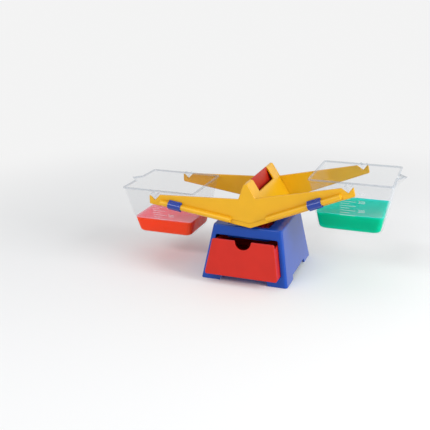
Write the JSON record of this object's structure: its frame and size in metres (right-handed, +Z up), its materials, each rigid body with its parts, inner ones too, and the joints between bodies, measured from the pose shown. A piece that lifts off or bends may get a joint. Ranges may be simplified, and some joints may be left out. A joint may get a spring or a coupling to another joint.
{
  "type": "toy bucket balance",
  "caption": "Toy balance with a beam rocking on a knife-edge fulcrum, clear hanging buckets with pouring spouts, sliding compensators on rails and a hollow base with a drawer",
  "frame": {"origin": "on the table, under the middle of the whole balance in its stored pose", "axes": "+X towards the right bucket seen from the drawer side, +Y to the back, +Z up"},
  "size_m": [0.3946, 0.1472, 0.15],
  "materials": {
    "yellow_plastic": "moulded, semi-gloss",
    "blue_plastic": "moulded, semi-gloss",
    "dark_blue_plastic": "moulded, semi-gloss",
    "red_plastic": "moulded, semi-gloss",
    "clear_plastic": "clear, polished"
  },
  "bodies": {
    "base": {"base_shell": "blue_plastic", "base_floor": "blue_plastic", "fulcrum": "red_plastic"},
    "beam": {"front_arm_plate": "yellow_plastic", "rear_arm_plate": "yellow_plastic", "roof_bridge": "yellow_plastic"},
    "left_bucket": {"left_bucket": "clear_plastic"},
    "right_bucket": {"right_bucket": "clear_plastic"},
    "left_compensator": {"left_compensator": "dark_blue_plastic"},
    "right_compensator": {"right_compensator": "dark_blue_plastic"},
    "drawer": {"drawer": "red_plastic"}
  },
  "joints": [
    {"name": "beam_tilt", "type": "hinge", "parent": "base", "child": "beam", "pos_m": [-0.00169, 0.00596, 0.135], "axis": [0, 1, 0], "range_deg": [-1.2, 16.4]},
    {"name": "left_bucket_swing", "type": "hinge", "parent": "beam", "child": "left_bucket", "pos_m": [-0.13213, 0.00596, 0.10468], "axis": [0, 1, 0], "range_deg": [-16.4, 1.2]},
    {"name": "right_bucket_swing", "type": "hinge", "parent": "beam", "child": "right_bucket", "pos_m": [0.13213, 0.00596, 0.13994], "axis": [0, 1, 0], "range_deg": [-16.4, 1.2]},
    {"name": "left_compensator_slide", "type": "slide", "parent": "beam", "child": "left_compensator", "axis": [-0.9909, 0, 0.1347], "range_m": [-0.0718, 0.0127]},
    {"name": "right_compensator_slide", "type": "slide", "parent": "beam", "child": "right_compensator", "axis": [0.9209, 0, 0.3898], "range_m": [-0.059, 0.0255]},
    {"name": "drawer_slide", "type": "slide", "parent": "base", "child": "drawer", "axis": [0, -1, 0], "range_m": [-0.016, 0.075]}
  ],
  "couplings": [
    {"joint": "left_bucket_swing", "follows": "beam_tilt", "ratio": -1},
    {"joint": "right_bucket_swing", "follows": "beam_tilt", "ratio": -1}
  ]
}
